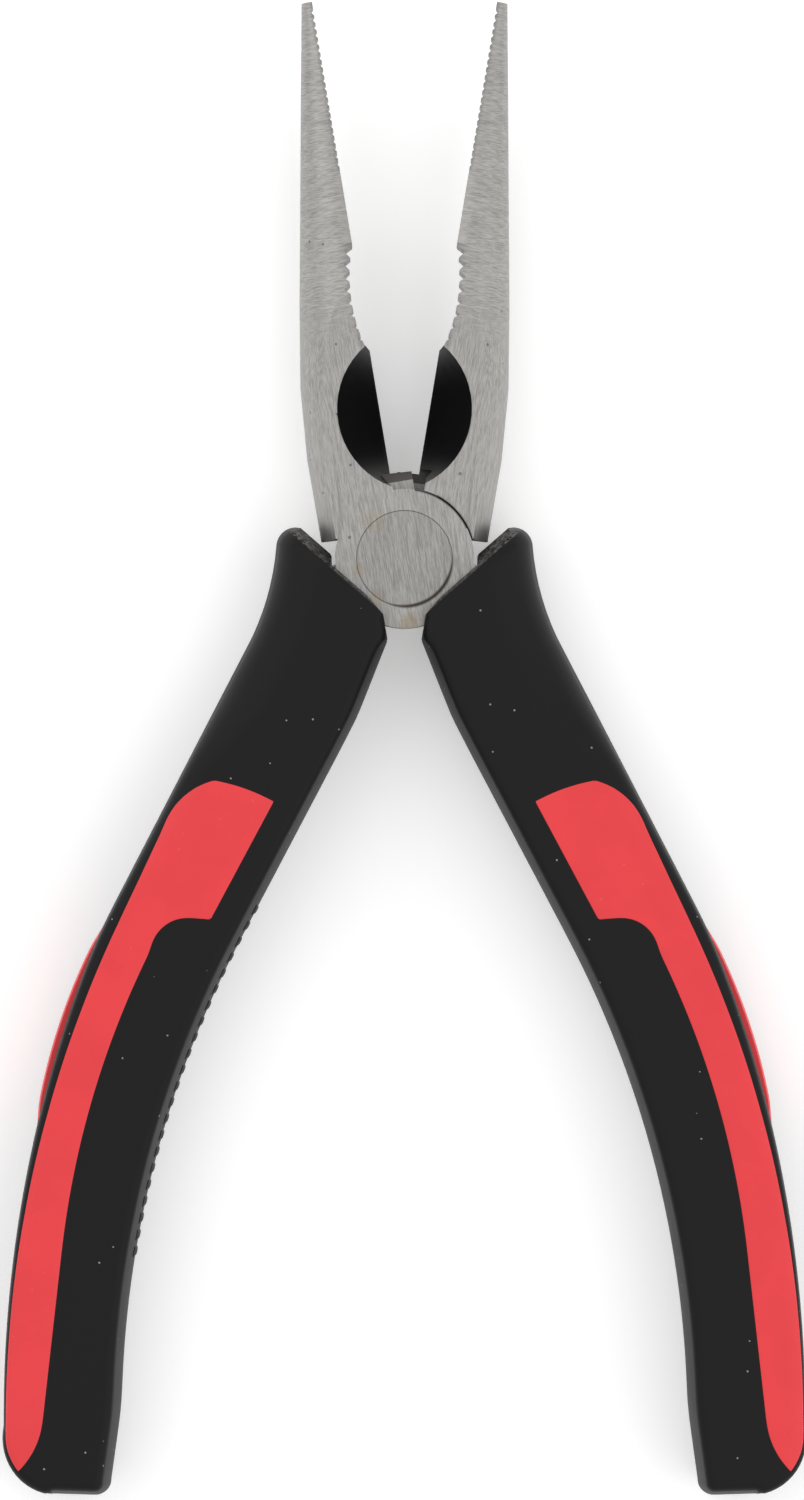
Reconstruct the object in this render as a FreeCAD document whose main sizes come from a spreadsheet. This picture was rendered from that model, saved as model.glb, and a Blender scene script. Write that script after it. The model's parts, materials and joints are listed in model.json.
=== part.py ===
"""Long-nose combination pliers, drawn open as they lie on a bench.

Millimetres. +Y runs from the handles to the jaw tips, +Z along the rivet, and the pliers rest on
the backs of both grips at Z = 0. The origin is the middle of the open tool's footprint.

Both levers are the same forging, the back one turned over. Each piece is drawn in the lever's own
frame: the rivet at the origin, the jaw up and left, the handle down and right, the jaws shut.
"""

import FreeCAD, Part
import math
import os

import Sketcher

V = FreeCAD.Vector

SIZES = {
    # the whole tool
    "half_opening": 9.4,
    "jaw_length": 58.7,
    "handle_length": 101.8,
    "joint_thickness": 9.5,
    "grip_thickness": 13.0,
    # joint
    "disc_radius": 7.2,
    "disc_clearance": 0.12,
    "lap_gap": 0.06,
    "rivet_radius": 3.4,
    "rivet_head_radius": 4.95,
    "rivet_head_depth": 1.4,
    "rivet_clearance": 0.04,
    # nose: how far out and how high (half) the round back of the jaw is at each station
    "jaw_gap": 0.06,
    "tip_reach": 1.15,
    "tip_half_height": 1.34,
    "nose_root_station": 27.6,
    "nose_root_reach": 6.5,
    "nose_root_half_height": 4.45,
    "cheek_station": 19.2,
    "cheek_reach": 7.8,
    "cheek_half_height": 5.87,
    "flank_station": 11.8,
    "flank_reach": 8.3,
    "flank_half_height": 7.0,
    "shoulder_station": 3.15,
    "shoulder_reach": 8.25,
    "shoulder_half_height": 8.0,
    # teeth
    "fine_tooth_start": 41.2,
    "fine_tooth_margin": 0.7,
    "fine_tooth_depth": 0.28,
    "fine_tooth_count": 21,
    "pipe_grip_top": 33.1,
    "pipe_grip_bottom": 22.5,
    "pipe_grip_depth": 0.8,
    "coarse_tooth_pitch": 1.3,
    "coarse_tooth_depth": 0.55,
    "coarse_tooth_count": 8,
    # cutter
    "cutter_top": 22.0,
    "cutter_step": 0.45,
    "hollow_top": 22.6,
    "hollow_bottom": 7.5,
    "hollow_width": 4.5,
    # web between cutter and disc
    "web_top": 9.05,
    "web_reach": 2.2,
    "web_thickness": 2.6,
    "web_clearance": 0.22,
    "web_notch": 0.86,
    "web_root": 1.5,
    "web_lap": 1.6,
    "web_fall": 0.2,
    # shank and tang
    "shank_end": 15.0,
    "shank_inner": 3.9,
    "shank_outer": 10.3,
    "tang_thickness": 5.6,
    "shank_inset": 0.6,
    "shank_root_rise": 1.2,
    "shank_hip_station": 1.0,
    "shank_side_across": 8.1,
    "shank_side_station": 3.4,
    "shank_crotch_inset": 1.7,
    "tang_margin": 13.8,
    "tang_width": 4.4,
    "tang_lap": 1.0,
    "tang_inset": 0.4,
    # grip outline, as stations below the rivet with the inner and outer edge at each
    "nip_across": 1.2,
    "nip_station": 6.1,
    "crotch_across": 0.35,
    "crotch_station": 8.6,
    "neck_station": 10.5,
    "neck_outer": 14.3,
    "waist_station": 17.4,
    "waist_inner": 2.25,
    "bow_station": 44.0,
    "bow_inner": 11.1,
    "bow_outer": 25.15,
    "belly_station": 66.0,
    "belly_inner": 15.4,
    "belly_outer": 28.2,
    "heel_rise": 6.3,
    "heel_inner": 14.45,
    "heel_outer": 26.4,
    "heel_radius": 6.0,
    "heel_round_across": 1.6,
    "heel_round_rise": 1.9,
    "toe_across": 1.4,
    "toe_rise": 0.6,
    "toe_round_across": 0.35,
    "toe_round_rise": 1.15,
    "toe_top_rise": 2.5,
    "toe_lead_across": 0.2,
    "toe_lead_rise": 4.0,
    # thumb guard
    "guard_clearance": 0.3,
    "guard_foot_run": 1.65,
    "guard_top_run": 2.65,
    "guard_side_across": 13.4,
    "guard_side_station": 5.6,
    "guard_corner_station": 0.6,
    "guard_corner_round": 0.75,
    "guard_corner_rise": 1.0,
    "guard_slope_angle": 31.6,
    "guard_slope_width": 1.6,
    "guard_ridge": 0.5,
    # room for the joint inside the grip
    "disc_room": 0.4,
    "face_room": 0.3,
    # inlays
    "inlay_depth": 0.9,
    "inlay_seam": 0.04,
    "inlay_border_top": 0.9,
    "inlay_border_bow": 1.4,
    "inlay_border_belly": 0.7,
    "inlay_border_heel": 0.25,
    "inlay_top_station": 26.9,
    "inlay_crest_station": 25.7,
    "inlay_crest_across": 15.7,
    "inlay_head_end": 40.5,
    "inlay_head_border": 3.6,
    "inlay_tail_width": 4.6,
    "inlay_tail_heel_width": 4.0,
    "inlay_crest_lead": 3.0,
    "inlay_crest_sag": 0.25,
    "inlay_corner_drop": 6.0,
    "inlay_round_across": 2.75,
    "inlay_round_drop": 2.0,
    "inlay_point_inset": 2.2,
    "inlay_point_drop": 4.4,
    "inlay_point_side_inset": 0.75,
    "inlay_point_side_drop": 2.7,
    "inlay_tail_end_rise": 1.5,
    "inlay_tail_end_inset": 3.6,
    "inlay_tail_end_drop": 1.8,
    "inlay_belly_widening": 0.4,
    "inlay_tail_bulge": 0.55,
    "inlay_tail_bulge_rise": 7.0,
    "inlay_bow_drop": 0.4,
    "inlay_hook_length": 2.6,
    "inlay_hook_round": 1.85,
    "inlay_hook_drop": 0.9,
    "inlay_hook_rise": 0.2,
    "edge_inlay_top": 40.5,
    "edge_inlay_bottom": 66.0,
    "edge_inlay_bow": 1.15,
    "edge_inlay_width": 4.8,
    "edge_inlay_depth": 1.0,
    "edge_inlay_proud": 0.25,
}

doc = FreeCAD.newDocument("long_nose_pliers")
sheet = doc.addObject("Spreadsheet::Sheet", "Sizes")
for row, (alias, number) in enumerate(SIZES.items(), start=1):
    sheet.set(f"A{row}", alias)
    sheet.set(f"B{row}", str(number))
    sheet.setAlias(f"B{row}", alias)
doc.recompute()


class Size:
    """A number together with the sheet expression that gives it."""

    def __init__(self, value, text):
        self.value = value
        self.text = text

    def __add__(self, other):
        other = size(other)
        return Size(self.value + other.value, f"({self.text} + {other.text})")

    def __sub__(self, other):
        other = size(other)
        return Size(self.value - other.value, f"({self.text} - {other.text})")

    def __mul__(self, other):
        other = size(other)
        return Size(self.value * other.value, f"({self.text} * {other.text})")

    def __truediv__(self, other):
        other = size(other)
        return Size(self.value / other.value, f"({self.text} / {other.text})")

    def __neg__(self):
        return Size(-self.value, f"(0 - {self.text})")


def size(number):
    """A plain number as a Size; a Size stays as it is."""
    if isinstance(number, Size):
        return number
    return Size(float(number), repr(float(number)))


def cell(alias):
    """The sheet's value of this name."""
    return Size(float(sheet.get(alias)), f"Sizes.{alias}")


def sine(angle):
    return Size(math.sin(math.radians(angle.value)), f"sin({angle.text} * 1 deg)")


def cosine(angle):
    return Size(math.cos(math.radians(angle.value)), f"cos({angle.text} * 1 deg)")


def bind(thing, prop, amount):
    """Ties a property of a document object to the sheet."""
    thing.setExpression(prop, size(amount).text)


# ---------------------------------------------------------------- sketches and features


def origin_plane(body, role):
    """One of the body's own origin planes."""
    for feature in body.Origin.OriginFeatures:
        if feature.Role == role:
            return feature
    raise RuntimeError(role)


def start_sketch(body, name, role, lift=0.0):
    """A sketch on an origin plane, lifted along the plane's normal."""
    sketch = body.newObject("Sketcher::SketchObject", name)
    sketch.AttachmentSupport = [(origin_plane(body, role), "")]
    sketch.MapMode = "FlatFace"
    lift = size(lift)
    sketch.AttachmentOffset = FreeCAD.Placement(V(0, 0, lift.value), FreeCAD.Rotation())
    bind(sketch, "AttachmentOffset.Base.z", lift)
    return sketch


def pin_point(sketch, tag, geometry, end, across, up):
    """Fixes one point of the sketch at a place given by the sheet."""
    for axis, amount in (("X", size(across)), ("Y", size(up))):
        place = Sketcher.Constraint("Distance" + axis, -1, 1, geometry, end, amount.value)
        index = sketch.addConstraint(place)
        sketch.renameConstraint(index, f"{tag}_{axis}")
        bind(sketch, f"Constraints.{tag}_{axis}", amount)


def draw_outline(sketch, steps):
    """A closed outline. A step is a corner, or a corner and a point that an arc to it passes."""
    corners = [V(size(step[0]).value, size(step[1]).value, 0) for step in steps]
    starts, ends = [], []
    for index, step in enumerate(steps):
        begin, finish = corners[index - 1], corners[index]
        if len(step) == 2:
            geometry = sketch.addGeometry(Part.LineSegment(begin, finish), False)
            starts.append((geometry, 1))
            ends.append((geometry, 2))
            continue
        middle = V(size(step[2]).value, size(step[3]).value, 0)
        geometry = sketch.addGeometry(Part.Arc(begin, middle, finish), False)
        turn = (middle - begin).cross(finish - middle).z
        starts.append((geometry, 1 if turn > 0 else 2))
        ends.append((geometry, 2 if turn > 0 else 1))
        marker = sketch.addGeometry(Part.Point(middle), True)
        pin_point(sketch, f"via{index}", marker, 1, step[2], step[3])
        sketch.addConstraint(Sketcher.Constraint("PointOnObject", marker, 1, geometry))
    for index, step in enumerate(steps):
        geometry, end = ends[index]
        following, start = starts[(index + 1) % len(steps)]
        sketch.addConstraint(Sketcher.Constraint("Coincident", geometry, end, following, start))
        pin_point(sketch, f"corner{index}", geometry, end, step[0], step[1])
    return sketch


def draw_circle(sketch, radius, across=0.0, up=0.0):
    """A circle at a place given by the sheet."""
    radius, across, up = size(radius), size(across), size(up)
    ring = Part.Circle(V(across.value, up.value, 0), V(0, 0, 1), radius.value)
    geometry = sketch.addGeometry(ring, False)
    index = sketch.addConstraint(Sketcher.Constraint("Radius", geometry, radius.value))
    sketch.renameConstraint(index, "radius")
    bind(sketch, "Constraints.radius", radius)
    pin_point(sketch, "centre", geometry, 3, across, up)
    return sketch


def add_feature(body, kind, name, profile, length=None, midplane=False, reverse=False):
    """A pad or a pocket of a sketch."""
    feature = body.newObject("PartDesign::" + kind, name)
    feature.Profile = profile
    profile.Visibility = False
    if length is not None:
        feature.Length = size(length).value
        bind(feature, "Length", length)
        feature.Midplane = midplane
        feature.Reversed = reverse
    doc.recompute()
    return feature


def mirror_feature(body, feature):
    """The same cut or pad on the other side of the lever's middle plane."""
    mirrored = body.newObject("PartDesign::Mirrored", feature.Name + "Mirrored")
    mirrored.Originals = [feature]
    mirrored.MirrorPlane = (origin_plane(body, "XY_Plane"), [""])
    body.Tip = mirrored
    doc.recompute()
    return mirrored


def new_body(label):
    body = doc.addObject("PartDesign::Body", label)
    body.Label = label
    return body


def pad_outline(body, name, steps, thickness):
    """A plate with this outline, centred on the lever's middle plane."""
    sketch = draw_outline(start_sketch(body, name + "Sketch", "XY_Plane"), steps)
    return add_feature(body, "Pad", name, sketch, thickness, midplane=True)


def cut_outline(body, name, steps, thickness):
    """A hole with this outline, centred on the lever's middle plane."""
    sketch = draw_outline(start_sketch(body, name + "Sketch", "XY_Plane"), steps)
    return add_feature(body, "Pocket", name, sketch, thickness, midplane=True)


# ---------------------------------------------------------------- outlines shared by the pieces

half_joint = cell("joint_thickness") / 2
half_grip = cell("grip_thickness") / 2
half_lap = cell("lap_gap") / 2
half_gap = cell("jaw_gap") / 2
heel_station = cell("handle_length") - cell("heel_rise")
OUTSIDE = 20.0  # far enough to clear a lever in any cut
PAST = 1.0  # how far a cut runs on past the face that it opens


def shank_outline():
    """The full-thickness root of the handle, from the disc down into the grip."""
    foot = -cell("shank_end")
    inset = cell("shank_inset")
    return [
        (cell("nip_across") + inset, cell("shank_root_rise") - cell("nip_station")),
        (cell("disc_radius") - inset, -cell("shank_hip_station")),
        (cell("shank_side_across"), -cell("shank_side_station")),
        (cell("shank_outer"), foot),
        (cell("shank_inner"), foot),
        (cell("crotch_across") + cell("shank_crotch_inset"), -cell("crotch_station") - inset),
    ]


def tang_outline():
    """The tang that runs down inside the grip, along its middle."""

    def middle(place_name):
        return (cell(place_name + "_inner") + cell(place_name + "_outer")) / 2

    half_width = cell("tang_width") / 2
    inset = cell("tang_inset")
    top = cell("tang_lap") - cell("shank_end")
    bow, belly = -cell("bow_station"), -cell("belly_station")
    end = cell("tang_margin") - cell("handle_length")
    return [
        (cell("shank_inner") + inset, top),
        (middle("bow") - half_width, bow),
        (middle("belly") - half_width, belly),
        (middle("heel") - half_width, end),
        (middle("heel") + half_width, end),
        (middle("belly") + half_width, belly),
        (middle("bow") + half_width, bow),
        (cell("shank_outer") - inset, top),
    ]


def guard_ends():
    """The guard's straight end face: it stops just short of the other jaw's open shoulder."""
    swing = cell("half_opening") * 2
    reach, station = cell("shoulder_reach"), cell("shoulder_station")
    slope = cell("guard_slope_angle")
    across = reach * cosine(swing) + station * sine(swing) + cell("guard_clearance") * sine(slope)
    up = station * cosine(swing) - reach * sine(swing) - cell("guard_clearance") * cosine(slope)
    foot, top = cell("guard_foot_run"), cell("guard_top_run")
    return (
        (across - foot * cosine(slope), up - foot * sine(slope)),
        (across + top * cosine(slope), up + top * sine(slope)),
    )


def grip_outline():
    """The grip seen from the front, guard included."""
    end = -cell("handle_length")
    outer, inner = cell("heel_outer"), cell("heel_inner")
    side = cell("guard_side_across")
    corner_via = (side - cell("guard_corner_round"), cell("guard_corner_rise"))
    heel_via = (outer - cell("heel_round_across"), end + cell("heel_round_rise"))
    toe_via = (inner + cell("toe_round_across"), end + cell("toe_round_rise"))
    foot, top = guard_ends()
    return [
        (cell("nip_across"), -cell("nip_station")),
        foot,
        top,
        (side, -cell("guard_corner_station"), *corner_via),
        (cell("neck_outer"), -cell("neck_station"), side, -cell("guard_side_station")),
        (cell("bow_outer"), -cell("bow_station")),
        (outer, -heel_station, cell("belly_outer"), -cell("belly_station")),
        (outer - cell("heel_radius"), end, *heel_via),
        (inner + cell("toe_across"), end + cell("toe_rise")),
        (inner, end + cell("toe_top_rise"), *toe_via),
        (inner + cell("toe_lead_across"), cell("toe_lead_rise") - heel_station),
        (cell("bow_inner"), -cell("bow_station"), cell("belly_inner"), -cell("belly_station")),
        (cell("waist_inner"), -cell("waist_station")),
        (cell("crotch_across"), -cell("crotch_station")),
    ]


# ---------------------------------------------------------------- pieces


def make_forging(label):
    """One lever: round nose, teeth, pipe grip, cutter, joint disc, shank and tang."""
    body = new_body(label)

    sections = []
    for name in ("shoulder", "flank", "cheek", "nose_root", "tip"):
        station = cell("jaw_length") if name == "tip" else cell(name + "_station")
        sketch = start_sketch(body, name.title().replace("_", "") + "Section", "XZ_Plane", -station)
        half_height = cell(name + "_half_height")
        steps = [(-half_gap, -half_height), (-half_gap, half_height, -cell(name + "_reach"), 0.0)]
        sections.append(draw_outline(sketch, steps))
    nose = body.newObject("PartDesign::AdditiveLoft", "Nose")
    nose.Profile = sections[0]
    nose.Sections = sections[1:]
    nose.Ruled = True
    doc.recompute()

    above = cell("jaw_length") + PAST
    square = [(-OUTSIDE, 0.0), (OUTSIDE, 0.0), (OUTSIDE, above), (-OUTSIDE, above)]
    ground = draw_outline(start_sketch(body, "GroundSketch", "XY_Plane", half_joint), square)
    ground_face = add_feature(body, "Pocket", "GroundFace", ground, OUTSIDE, reverse=True)
    mirror_feature(body, ground_face)

    top, bottom = cell("pipe_grip_top"), cell("pipe_grip_bottom")
    step_in = half_gap + cell("cutter_step")
    scoop = [
        (-half_gap, cell("cutter_top")),
        (-step_in, bottom),
        (-half_gap, top, -step_in / 2 - cell("pipe_grip_depth"), (top + bottom) / 2),
        (PAST, top),
        (PAST, cell("cutter_top")),
    ]
    cut_outline(body, "PipeGrip", scoop, cell("joint_thickness") * 2)

    make_hollow(body)
    make_teeth(body)
    make_joint(body)
    return body


def make_hollow(body):
    """The hollow-ground bevel of the cutter, from a straight edge out to a round border."""
    top, bottom = cell("hollow_top"), cell("hollow_bottom")
    edge = -half_gap
    middle = (top + bottom) / 2
    border = start_sketch(body, "HollowBorder", "XY_Plane", half_joint)
    far_side = [(PAST, bottom), (PAST, top), (edge, top)]
    draw_outline(border, [(edge, bottom, -cell("hollow_width"), middle)] + far_side)
    blade = start_sketch(body, "HollowBlade", "XY_Plane")
    draw_outline(blade, [(edge, bottom)] + far_side)
    hollow = body.newObject("PartDesign::SubtractiveLoft", "Hollow")
    hollow.Profile = blade
    hollow.Sections = [border]
    hollow.Ruled = True
    doc.recompute()
    mirror_feature(body, hollow)


def make_teeth(body):
    """Fine teeth on the flat tip and coarse ones round the pipe grip."""
    depth, foot = cell("fine_tooth_depth"), cell("fine_tooth_start")
    run = cell("jaw_length") - cell("fine_tooth_margin") - foot
    pitch = run / cell("fine_tooth_count")
    across = cell("joint_thickness")
    notch = [(0.0, foot), (0.0, foot + pitch), (-half_gap - depth, foot + pitch / 2)]
    tooth = cut_outline(body, "FineNotch", notch, across)
    row = body.newObject("PartDesign::LinearPattern", "FineTeeth")
    row.Originals = [tooth]
    row.Direction = (tooth.Profile[0], ["V_Axis"])
    row.Occurrences = int(cell("fine_tooth_count").value)
    bind(row, "Occurrences", cell("fine_tooth_count"))
    row.Length = (pitch * (cell("fine_tooth_count") - 1)).value
    bind(row, "Length", pitch * (cell("fine_tooth_count") - 1))
    body.Tip = row
    doc.recompute()

    top, bottom = cell("pipe_grip_top"), cell("pipe_grip_bottom")
    reach = (top - bottom) / 2
    sagitta = cell("pipe_grip_depth")
    radius = (reach * reach + sagitta * sagitta) / (sagitta * 2)
    centre_across = radius - sagitta - half_gap - cell("cutter_step") / 2
    centre_up = (top + bottom) / 2
    pitch, depth = cell("coarse_tooth_pitch"), cell("coarse_tooth_depth")
    count = cell("coarse_tooth_count")
    sketch = start_sketch(body, "CoarseNotchSketch", "XY_Plane")
    sketch.AttachmentOffset = FreeCAD.Placement(
        V(centre_across.value, centre_up.value, 0), FreeCAD.Rotation()
    )
    bind(sketch, "AttachmentOffset.Base.x", centre_across)
    bind(sketch, "AttachmentOffset.Base.y", centre_up)
    turn = pitch / radius * (180 / math.pi)
    first = turn * (count - 1) / -2
    # the grip's arc is tilted, so the flanks run on clear of it and neighbours cross in the open
    open_end = radius - depth * 1.5
    corners = [(open_end, first - turn), (radius + depth, first), (open_end, first + turn)]
    steps = [(-far * cosine(angle), far * sine(angle)) for far, angle in corners]
    draw_outline(sketch, steps)
    tooth = add_feature(body, "Pocket", "CoarseNotch", sketch, cell("joint_thickness"), True)
    ring = body.newObject("PartDesign::PolarPattern", "CoarseTeeth")
    ring.Originals = [tooth]
    ring.Axis = (sketch, ["N_Axis"])
    ring.Reversed = True
    ring.Occurrences = int(count.value)
    bind(ring, "Occurrences", count)
    ring.Angle = (turn * (count - 1)).value
    bind(ring, "Angle", turn * (count - 1))
    body.Tip = ring
    doc.recompute()


def make_joint(body):
    """The half-thickness disc, the shank and tang, and the room for the other lever."""
    disc = draw_circle(start_sketch(body, "DiscSketch", "XY_Plane", half_lap), cell("disc_radius"))
    add_feature(body, "Pad", "Disc", disc, half_joint - half_lap)
    pad_outline(body, "Shank", shank_outline(), cell("joint_thickness"))
    pad_outline(body, "Tang", tang_outline(), cell("tang_thickness"))

    swept = cell("disc_radius") + cell("disc_clearance")
    room = draw_circle(start_sketch(body, "RoomSketch", "XY_Plane", half_lap), swept)
    add_feature(body, "Pocket", "DiscRoom", room, cell("joint_thickness"))

    web_top, reach = cell("web_top"), cell("web_reach")
    web = start_sketch(body, "WebSketch", "XY_Plane", half_lap)
    foot = cell("disc_radius") - cell("web_root")
    lap, fallen = -cell("web_lap"), web_top - cell("web_fall")
    draw_outline(web, [(lap, foot), (reach, foot), (reach, fallen), (lap, web_top)])
    add_feature(body, "Pad", "Web", web, cell("web_thickness"))

    spare = cell("web_clearance")
    passed = start_sketch(body, "WebRoomSketch", "XY_Plane", half_lap)
    ceiling = web_top + spare * 2
    left = -reach - spare
    draw_outline(passed, [(left, foot), (PAST, foot), (PAST, ceiling), (left, ceiling)])
    add_feature(body, "Pocket", "WebRoom", passed, cell("web_thickness") + cell("lap_gap") + spare)
    corner = start_sketch(body, "CornerSketch", "XY_Plane", half_lap)
    left = -cell("web_notch")
    draw_outline(corner, [(left, foot), (PAST, foot), (PAST, ceiling), (left, ceiling)])
    add_feature(body, "Pocket", "CornerRoom", corner, cell("joint_thickness"))

    make_rivet_hole(body)


def rivet_profile(spare):
    """Half of the rivet's long section, from its axis out, larger all round by spare."""
    half = half_joint
    shank = cell("rivet_radius") + spare
    head = cell("rivet_head_radius") + spare
    neck = half - cell("rivet_head_depth")
    return [(0.0, -half), (head, -half), (shank, -neck), (shank, neck), (head, half), (0.0, half)]


def make_rivet_hole(body):
    """The hole that the rivet turns in, opened out for its heads at both faces."""
    sketch = start_sketch(body, "RivetHoleSketch", "XZ_Plane")
    draw_outline(sketch, rivet_profile(cell("rivet_clearance")))
    hole = body.newObject("PartDesign::Groove", "RivetHole")
    hole.Profile = sketch
    hole.ReferenceAxis = (sketch, ["V_Axis"])
    hole.Angle = 360
    doc.recompute()


def make_rivet(label):
    """The rivet, its heads spread into both faces and ground flush."""
    body = new_body(label)
    sketch = draw_outline(start_sketch(body, "RivetSketch", "XZ_Plane"), rivet_profile(size(0)))
    turned = body.newObject("PartDesign::Revolution", "Rivet")
    turned.Profile = sketch
    turned.ReferenceAxis = (sketch, ["V_Axis"])
    turned.Angle = 360
    doc.recompute()
    return body


def outer_edge(station):
    """How far out the grip reaches on its straight run, between neck and bow."""
    run = cell("bow_station") - cell("neck_station")
    rise = (cell("bow_outer") - cell("neck_outer")) / run
    return cell("neck_outer") + rise * (station - cell("neck_station"))


def inner_edge(station):
    """Where the grip's inner side is on its straight run, between waist and bow."""
    run = cell("bow_station") - cell("waist_station")
    rise = (cell("bow_inner") - cell("waist_inner")) / run
    return cell("waist_inner") + rise * (station - cell("waist_station"))


def inlay_outline(spare):
    """The red face inlay: a broad head below the neck and a tail down the outer edge."""
    top, head_end = cell("inlay_top_station"), cell("inlay_head_end")
    crest, crest_across = cell("inlay_crest_station"), cell("inlay_crest_across")
    bow, belly, heel = cell("bow_station"), cell("belly_station"), heel_station
    head_inner = cell("inlay_head_border") + spare
    corner = crest + cell("inlay_corner_drop")
    bow_out = cell("bow_outer") - cell("inlay_border_bow")
    belly_out = cell("belly_outer") - cell("inlay_border_belly")
    heel_out = cell("heel_outer") - cell("inlay_border_heel")
    tail, tail_end = cell("inlay_tail_width"), cell("inlay_tail_heel_width")
    tail_low = belly_out - tail_end - cell("inlay_belly_widening")
    hook = inner_edge(head_end) + cell("inlay_head_border") + cell("inlay_hook_length")

    crest_via = (
        crest_across - cell("inlay_crest_lead"),
        -crest - cell("inlay_crest_sag") - spare,
    )
    round_via = (
        crest_across + cell("inlay_round_across") - spare,
        -crest - cell("inlay_round_drop"),
    )
    point_via = (
        heel_out - cell("inlay_point_side_inset") - spare,
        -heel - cell("inlay_point_side_drop"),
    )
    tail_end_via = (
        heel_out - cell("inlay_tail_end_inset") + spare,
        -heel - cell("inlay_tail_end_drop"),
    )
    tail_via = (
        belly_out - tail - cell("inlay_tail_bulge") + spare,
        cell("inlay_tail_bulge_rise") - belly,
    )
    hook_via = (hook + cell("inlay_hook_round"), -head_end - cell("inlay_hook_drop"))
    return [
        (inner_edge(top) + head_inner, -top - spare),
        (crest_across, -crest - spare, *crest_via),
        (outer_edge(corner) - cell("inlay_border_top") - spare, -corner, *round_via),
        (bow_out - spare, -bow),
        (heel_out - spare, -heel, belly_out - spare, -belly),
        (
            heel_out - cell("inlay_point_inset"),
            spare - heel - cell("inlay_point_drop"),
            *point_via,
        ),
        (heel_out - tail_end + spare, cell("inlay_tail_end_rise") - heel, *tail_end_via),
        (tail_low + spare, (belly * 2 + heel) / -3),
        (bow_out - tail + spare, -bow - cell("inlay_bow_drop"), *tail_via),
        (hook, spare - head_end, *hook_via),
        (inner_edge(head_end) + head_inner, spare - head_end + cell("inlay_hook_rise")),
    ]


def edge_points():
    """Where the edge inlay begins and ends on the grip's outer edge, and the middle between."""
    top, bottom = cell("edge_inlay_top"), cell("edge_inlay_bottom")
    begin, finish = (outer_edge(top), -top), (cell("belly_outer"), -bottom)
    middle = ((begin[0] + finish[0]) / 2 + cell("edge_inlay_bow"), (top + bottom) / -2)
    return begin, finish, middle


def make_sleeve(label):
    """The black moulded grip with its guard, hollow for the joint, shank and tang."""
    body = new_body(label)
    pad_outline(body, "Grip", grip_outline(), cell("grip_thickness"))

    slope = start_sketch(body, "GuardSlopeSketch", "XZ_Plane")
    angle = cell("guard_slope_angle") + 90
    slope.AttachmentOffset = FreeCAD.Placement(
        V(cell("nip_across").value, 0, cell("nip_station").value),
        FreeCAD.Rotation(V(0, 1, 0), angle.value),
    )
    bind(slope, "AttachmentOffset.Base.x", cell("nip_across"))
    bind(slope, "AttachmentOffset.Base.z", cell("nip_station"))
    bind(slope, "AttachmentOffset.Rotation.Angle", angle)
    width, ridge = cell("guard_slope_width"), cell("guard_ridge")
    tilt = width / (half_grip - ridge)
    above = half_grip + PAST
    steps = [(-tilt * PAST, above), (width, ridge), (OUTSIDE, ridge), (OUTSIDE, above)]
    draw_outline(slope, steps)
    cut = add_feature(body, "Pocket", "GuardSlope", slope, OUTSIDE * 3, midplane=True)
    mirror_feature(body, cut)

    room = cell("disc_radius") + cell("disc_room")
    disc = draw_circle(start_sketch(body, "DiscRoomSketch", "XY_Plane"), room)
    depth = cell("joint_thickness") + cell("face_room") * 2
    add_feature(body, "Pocket", "DiscRoom", disc, depth, midplane=True)
    cut_outline(body, "ShankRoom", shank_outline(), cell("joint_thickness"))
    cut_outline(body, "TangRoom", tang_outline(), cell("tang_thickness"))

    seat_height = half_grip - cell("inlay_depth")
    seat = start_sketch(body, "SeatSketch", "XY_Plane", seat_height)
    draw_outline(seat, inlay_outline(size(0)))
    seat_cut = add_feature(body, "Pocket", "InlaySeat", seat, cell("inlay_depth") * 2, reverse=True)
    mirror_feature(body, seat_cut)

    begin, finish, middle = edge_points()
    outside = finish[0] + OUTSIDE
    edge_seat = [
        begin,
        (*finish, middle[0] - cell("edge_inlay_depth"), middle[1]),
        (outside, finish[1]),
        (outside, begin[1]),
    ]
    cut_outline(body, "EdgeSeat", edge_seat, cell("edge_inlay_width"))
    return body


def make_face_inlay(label, side):
    """A red inlay in the front (side 1) or back (side -1) of a grip."""
    body = new_body(label)
    low = half_grip - cell("inlay_depth")
    sketch = start_sketch(body, "InlaySketch", "XY_Plane", low if side > 0 else -low)
    draw_outline(sketch, inlay_outline(cell("inlay_seam")))
    add_feature(body, "Pad", "Inlay", sketch, cell("inlay_depth"), reverse=side < 0)
    return body


def make_edge_inlay(label):
    """The red strip let into a grip's outer edge, standing a little proud."""
    body = new_body(label)
    begin, finish, middle = edge_points()
    seam, proud = cell("inlay_seam"), cell("edge_inlay_proud")
    floor = middle[0] - cell("edge_inlay_depth") + seam
    steps = [
        (finish[0] + seam, finish[1] + seam, floor, middle[1]),
        (begin[0] + seam, begin[1] - seam, middle[0] + proud, middle[1]),
    ]
    pad_outline(body, "Strip", steps, cell("edge_inlay_width") - seam * 2)
    return body


# ---------------------------------------------------------------- assembly


def pivot_height():
    """The rivet's Y: the open tool's footprint is centred on the origin."""
    angle = cell("half_opening")
    radius = cell("heel_radius")
    tip = cell("jaw_length") * cosine(angle)
    heel_across = cell("heel_outer") - radius
    heel_end = heel_across * sine(angle) - (cell("handle_length") - radius) * cosine(angle) - radius
    return (tip + heel_end) / -2


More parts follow.
